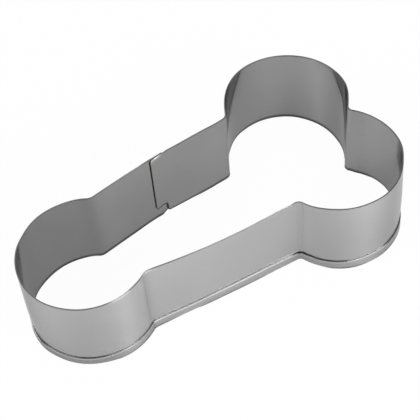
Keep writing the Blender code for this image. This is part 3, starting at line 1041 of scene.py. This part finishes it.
class CUTTER_OT_form_strip(Operator):
    """Form the hemmed strip, lap its ends and give it its steel"""

    bl_idname = "cutter.form_strip"
    bl_label = "Form the strip"
    bl_options = {"REGISTER", "UNDO"}

    def execute(self, context):
        strip = context.scene.cutter_strip
        look = context.scene.cutter_look
        outline = Outline(context.scene.cutter_outline, strip)
        sheet = surface_mesh("formed_strip", *strip_surface(outline, strip))
        band = bpy.data.objects.new("formed_strip", sheet)
        context.scene.collection.objects.link(band)

        thickness = band.modifiers.new("Sheet thickness", "SOLIDIFY")
        thickness.thickness = strip.sheet
        thickness.offset = 0.0
        thickness.use_even_offset = True
        thickness.use_rim = True
        thickness.material_offset_rim = 1
        edges = band.modifiers.new("Edge break", "BEVEL")
        edges.width = strip.edge_break
        edges.segments = 2
        edges.limit_method = "ANGLE"
        edges.angle_limit = SHEARED_ANGLE
        edges.use_clamp_overlap = False

        group = rolled_steel_group()
        band.data.materials.append(strip_material(group, look))
        band.data.materials.append(edge_material(group, look))
        mesh = applied(band)
        mesh.name = "formed_strip"
        mesh.shade_smooth()
        mesh.set_sharp_from_angle(angle=SHARP_ANGLE)
        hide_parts("band")
        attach(band, "root")
        return {"FINISHED"}


class CUTTER_OT_finish_welds(Operator):
    """Give the weld metal between the lapped ends its look"""

    bl_idname = "cutter.finish_welds"
    bl_label = "Finish the welds"
    bl_options = {"REGISTER", "UNDO"}

    def execute(self, context):
        material = weld_material(context.scene.cutter_look)
        for name in WELD_NODES:
            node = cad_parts[name]
            node.data.materials.clear()
            node.data.materials.append(material)
        return {"FINISHED"}


# Open share of the floor's view below which its painted shadow is darkest and above which it is plain
CLOSED_SHARE = 0.55
OPEN_SHARE = 0.84
# The floor's colour where its painted contact shadow is darkest, as a share of its own
CONTACT_SHADOW_DARKEST = 0.05
PLAIN_WHITE = (1.0, 1.0, 1.0, 1.0)


def floor_material(setup):
    """Plain floor: diffuse, with a share of plain white that only the camera and reflections see.

    The white gives way beside the foot, where occlusion darkens the floor's colour: a painted contact shadow.
    """
    material, nodes, links, lit = new_material("plain floor", 0.0)
    lit.inputs["Roughness"].default_value = setup.floor_roughness
    white = new_node(nodes, "ShaderNodeEmission", Color=PLAIN_WHITE, Strength=1.0)
    nearby = new_node(nodes, "ShaderNodeAmbientOcclusion", Distance=setup.contact_reach)
    nearby.samples = 4
    open_share = new_node(nodes, "ShaderNodeMapRange", From_Min=CLOSED_SHARE, From_Max=OPEN_SHARE)
    links.new(nearby.outputs["AO"], open_share.inputs["Value"])
    # Painted contact shadow: the floor's colour darkened by ambient occlusion beside the foot
    painted_contact_shadow = [CONTACT_SHADOW_DARKEST * share for share in setup.floor_colour]
    links.new(mixed(nodes, links, open_share.outputs[0], painted_contact_shadow, setup.floor_colour, colours=True),
              lit.inputs["Base Color"])
    seen = nodes.new("ShaderNodeLightPath")
    mirrored = math_node(nodes, links, "MAXIMUM", seen.outputs["Is Glossy Ray"],
                         seen.outputs["Is Transmission Ray"])
    share = math_node(nodes, links, "MULTIPLY", seen.outputs["Is Camera Ray"], setup.floor_lift)
    share = math_node(nodes, links, "MULTIPLY_ADD", mirrored, setup.floor_lift_in_metal, share)
    share = math_node(nodes, links, "MULTIPLY", share, open_share.outputs[0])
    mix = nodes.new("ShaderNodeMixShader")
    for socket, source in zip(mix.inputs, (share, lit.outputs[0], white.outputs[0])):
        links.new(source, socket)
    links.new(mix.outputs[0], nodes["Material Output"].inputs["Surface"])
    return material


def plain_sky(setup):
    """Even pale light from all round, plain white where the camera looks past the floor."""
    world = bpy.data.worlds.new("plain sky")
    world.use_nodes = True
    nodes, links = world.node_tree.nodes, world.node_tree.links
    seen = nodes.new("ShaderNodeLightPath")
    strength = new_node(nodes, "ShaderNodeMapRange", To_Min=setup.sky_strength, To_Max=1.0)
    links.new(seen.outputs["Is Camera Ray"], strength.inputs["Value"])
    back = nodes["Background"]
    back.inputs["Color"].default_value = PLAIN_WHITE
    links.new(strength.outputs[0], back.inputs["Strength"])
    return world


def soft_light(scene, name, place, size, power):
    """A square soft box that faces the middle of the foot."""
    lamp = bpy.data.lights.new(name, "AREA")
    lamp.shape = "SQUARE"
    lamp.size = size
    lamp.energy = power
    obj = bpy.data.objects.new(name, lamp)
    obj.location = place
    obj.rotation_euler = (-Vector(place)).to_track_quat("-Z", "Y").to_euler()
    scene.collection.objects.link(obj)


FLOOR_CORNERS = 64
# Width of the camera's sensor in millimetres, and how near it sees in metres
SENSOR_WIDTH = 36.0
CLIP_START = 0.01

# Name, place and width in metres, and power in watts
LIGHTS = (
    ("left box", (-0.94, 0.0, 0.342), 0.80, 7.0),
    ("front box", (0.0, -0.94, 0.342), 0.80, 8.8),
    ("right box", (0.664, -0.664, 0.342), 0.80, 6.9),
    ("back box", (0.148, 0.554, 0.819), 0.50, 2.0),
)


def camera_matrix(setup):
    """Looks at the target from its distance, turned about the vertical, raised, and rolled about its axis."""
    target = Vector(setup.camera_target)
    turned = Matrix.Rotation(setup.camera_azimuth, 4, "Z")
    raised = Matrix.Rotation(math.pi / 2.0 - setup.camera_elevation, 4, "X")
    rolled = Matrix.Rotation(setup.camera_roll, 4, "Z")
    away = Matrix.Translation((0.0, 0.0, setup.camera_distance))
    return Matrix.Translation(target) @ turned @ raised @ away @ rolled


class CUTTER_OT_set_stage(Operator):
    """Lay the floor, light the cutter and place the camera"""

    bl_idname = "cutter.set_stage"
    bl_label = "Set the stage"
    bl_options = {"REGISTER", "UNDO"}

    def execute(self, context):
        scene = context.scene
        setup = scene.cutter_stage
        around = np.linspace(0.0, 2.0 * math.pi, FLOOR_CORNERS, endpoint=False)
        rim = np.stack([np.cos(around), np.sin(around), 0.0 * around], axis=1) * setup.floor_radius
        mesh = bpy.data.meshes.new("floor")
        mesh.from_pydata(rim.tolist(), [], [list(range(len(rim)))])
        mesh.materials.append(floor_material(setup))
        floor = bpy.data.objects.new("floor", mesh)
        scene.collection.objects.link(floor)

        scene.world = plain_sky(setup)
        for name, place, size, power in LIGHTS:
            soft_light(scene, name, place, size, power)

        lens = bpy.data.cameras.new("camera")
        lens.lens = setup.camera_lens
        lens.sensor_width = SENSOR_WIDTH
        lens.clip_start = CLIP_START
        camera = bpy.data.objects.new("camera", lens)
        camera.matrix_world = camera_matrix(setup)
        scene.collection.objects.link(camera)
        scene.camera = camera
        scene.view_settings.view_transform = "Standard"
        return {"FINISHED"}


class CUTTER_PT_panel(Panel):
    """Sizes, looks and steps of the cutter"""

    bl_idname = "CUTTER_PT_panel"
    bl_label = "Cookie cutter"
    bl_space_type = "VIEW_3D"
    bl_region_type = "UI"
    bl_category = "Cutter"

    def draw(self, context):
        layout = self.layout
        for group in (context.scene.cutter_outline, context.scene.cutter_strip, context.scene.cutter_look,
                      context.scene.cutter_stage):
            box = layout.box()
            for name in group.__annotations__:
                box.prop(group, name)
        for operator in OPERATORS:
            layout.operator(operator.bl_idname)


OPERATORS = (CUTTER_OT_form_strip, CUTTER_OT_finish_welds, CUTTER_OT_set_stage)
GROUPS = {
    "cutter_outline": CutterOutlineSizes,
    "cutter_strip": CutterStripSizes,
    "cutter_look": CutterSteelLook,
    "cutter_stage": CutterStageSetup,
}


def register():
    for group in GROUPS.values():
        bpy.utils.register_class(group)
    for name, group in GROUPS.items():
        setattr(bpy.types.Scene, name, PointerProperty(type=group))
    for operator in OPERATORS:
        bpy.utils.register_class(operator)
    bpy.utils.register_class(CUTTER_PT_panel)


def unregister():
    bpy.utils.unregister_class(CUTTER_PT_panel)
    for operator in reversed(OPERATORS):
        bpy.utils.unregister_class(operator)
    for name in GROUPS:
        delattr(bpy.types.Scene, name)
    for group in reversed(GROUPS.values()):
        bpy.utils.unregister_class(group)


def main():
    register()
    bpy.ops.cutter.form_strip()
    bpy.ops.cutter.finish_welds()
    bpy.ops.cutter.set_stage()


if __name__ == "__main__":
    main()
